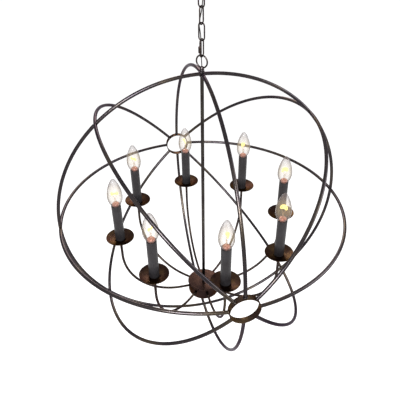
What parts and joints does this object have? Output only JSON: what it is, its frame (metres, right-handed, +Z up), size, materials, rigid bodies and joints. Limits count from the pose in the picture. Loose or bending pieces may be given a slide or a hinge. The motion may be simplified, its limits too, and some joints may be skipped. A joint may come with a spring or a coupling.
{
  "type": "orb chandelier",
  "caption": "Open sphere of bent rods hung on a short chain, with a ring of upward candle lamps on curved arms around a centre stem.",
  "frame": {"origin": "on the ceiling face, midway between the two slots of the mounting bar", "axes": "+Z up into the ceiling along the chain; the front hub ring faces -Y; +X is the right-hand side"},
  "size_m": [0.708, 0.7108, 0.9212],
  "materials": {
    "rod": "oil-rubbed bronze, satin",
    "stem_tube": "oil-rubbed bronze, satin",
    "arm_tube": "oil-rubbed bronze, satin",
    "spun_sheet": "rusty bronze, hand-rubbed",
    "lock_nuts": "dulled brass",
    "sleeve": "satin black",
    "socket": "black moulded",
    "bulb_glass": "clear glass",
    "chain": "oil-rubbed bronze, satin",
    "plated_steel": "zinc plated",
    "ground": "green",
    "wire": "dark brown insulation"
  },
  "bodies": {
    "ceiling_mount": {"mounting_bar": "plated_steel", "nipple": "plated_steel", "nipple_nut": "plated_steel", "ground_screw": "ground", "ceiling_loop": "chain", "lamp_wire": "wire"},
    "canopy": {"canopy": "spun_sheet", "canopy_ring": "spun_sheet"},
    "link_1": {"chain_link_1": "chain"},
    "link_2": {"chain_link_2": "chain"},
    "link_3": {"chain_link_3": "chain"},
    "quick_link": {"quick_link": "chain"},
    "quick_nut": {"quick_link_nut": "chain"},
    "orb": {"cross_hoop": "rod", "rib_1_front": "rod", "rib_1_back": "rod", "rib_2": "rod", "rib_3": "rod", "rib_4": "rod", "rib_5": "rod", "rib_6": "rod", "rib_7": "rod", "rib_8": "rod", "hub_ring_front": "rod", "hub_ring_back": "rod", "stem": "stem_tube", "drum_lid": "spun_sheet", "drum_cup": "spun_sheet", "drum_cap_nut": "spun_sheet", "arm_1": "arm_tube", "arm_2": "arm_tube", "arm_3": "arm_tube", "arm_4": "arm_tube", "arm_5": "arm_tube", "arm_6": "arm_tube", "arm_7": "arm_tube", "arm_8": "arm_tube", "arm_nuts": "lock_nuts", "pan_nuts": "lock_nuts", "drip_pans": "spun_sheet", "candle_sleeve_1": "sleeve", "candle_sleeve_2": "sleeve", "candle_sleeve_3": "sleeve", "candle_sleeve_4": "sleeve", "candle_sleeve_5": "sleeve", "candle_sleeve_6": "sleeve", "candle_sleeve_7": "sleeve", "candle_sleeve_8": "sleeve", "sockets": "socket", "top_loop": "chain"},
    "bulb_1": {"bulb_1": "bulb_glass"},
    "bulb_2": {"bulb_2": "bulb_glass"},
    "bulb_3": {"bulb_3": "bulb_glass"},
    "bulb_4": {"bulb_4": "bulb_glass"},
    "bulb_5": {"bulb_5": "bulb_glass"},
    "bulb_6": {"bulb_6": "bulb_glass"},
    "bulb_7": {"bulb_7": "bulb_glass"},
    "bulb_8": {"bulb_8": "bulb_glass"}
  },
  "joints": [
    {"name": "chain_swing_1", "type": "hinge", "parent": "ceiling_mount", "child": "link_1", "pos_m": [0, 0, -0.0515], "axis": [0.7071, 0.7071, 0], "range_deg": [-25, 25], "deforming": ["lamp_wire"]},
    {"name": "chain_swing_2", "type": "hinge", "parent": "link_1", "child": "link_2", "pos_m": [0, 0, -0.08295], "axis": [0.7071, -0.7071, 0], "range_deg": [-25, 25], "deforming": ["lamp_wire"]},
    {"name": "chain_swing_3", "type": "hinge", "parent": "link_2", "child": "link_3", "pos_m": [0, 0, -0.11515], "axis": [0.7071, 0.7071, 0], "range_deg": [-25, 25], "deforming": ["lamp_wire"]},
    {"name": "chain_swing_4", "type": "hinge", "parent": "link_3", "child": "quick_link", "pos_m": [0, 0, -0.14735], "axis": [0.7071, -0.7071, 0], "range_deg": [-25, 25], "deforming": ["lamp_wire"]},
    {"name": "orb_swing", "type": "hinge", "parent": "quick_link", "child": "orb", "pos_m": [0, 0, -0.18105], "axis": [0.7071, 0.7071, 0], "range_deg": [-25, 25], "deforming": ["lamp_wire"]},
    {"name": "quick_nut_travel", "type": "slide", "parent": "quick_link", "child": "quick_nut", "axis": [0, 0, 1], "range_m": [0, 0.007]},
    {"name": "canopy_drop", "type": "slide", "parent": "ceiling_mount", "child": "canopy", "axis": [0, 0, 1], "range_m": [-0.02, 0]},
    {"name": "bulb_1_turn", "type": "hinge", "parent": "orb", "child": "bulb_1", "pos_m": [0, -0.214, -0.52225], "axis": [0, 0, 1], "range_deg": [0, 1080]},
    {"name": "bulb_2_turn", "type": "hinge", "parent": "orb", "child": "bulb_2", "pos_m": [0.15132, -0.15132, -0.52225], "axis": [0, 0, 1], "range_deg": [0, 1080]},
    {"name": "bulb_3_turn", "type": "hinge", "parent": "orb", "child": "bulb_3", "pos_m": [0.214, 0, -0.52225], "axis": [0, 0, 1], "range_deg": [0, 1080]},
    {"name": "bulb_4_turn", "type": "hinge", "parent": "orb", "child": "bulb_4", "pos_m": [0.15132, 0.15132, -0.52225], "axis": [0, 0, 1], "range_deg": [0, 1080]},
    {"name": "bulb_5_turn", "type": "hinge", "parent": "orb", "child": "bulb_5", "pos_m": [0, 0.214, -0.52225], "axis": [0, 0, 1], "range_deg": [0, 1080]},
    {"name": "bulb_6_turn", "type": "hinge", "parent": "orb", "child": "bulb_6", "pos_m": [-0.15132, 0.15132, -0.52225], "axis": [0, 0, 1], "range_deg": [0, 1080]},
    {"name": "bulb_7_turn", "type": "hinge", "parent": "orb", "child": "bulb_7", "pos_m": [-0.214, 0, -0.52225], "axis": [0, 0, 1], "range_deg": [0, 1080]},
    {"name": "bulb_8_turn", "type": "hinge", "parent": "orb", "child": "bulb_8", "pos_m": [-0.15132, -0.15132, -0.52225], "axis": [0, 0, 1], "range_deg": [0, 1080]}
  ]
}
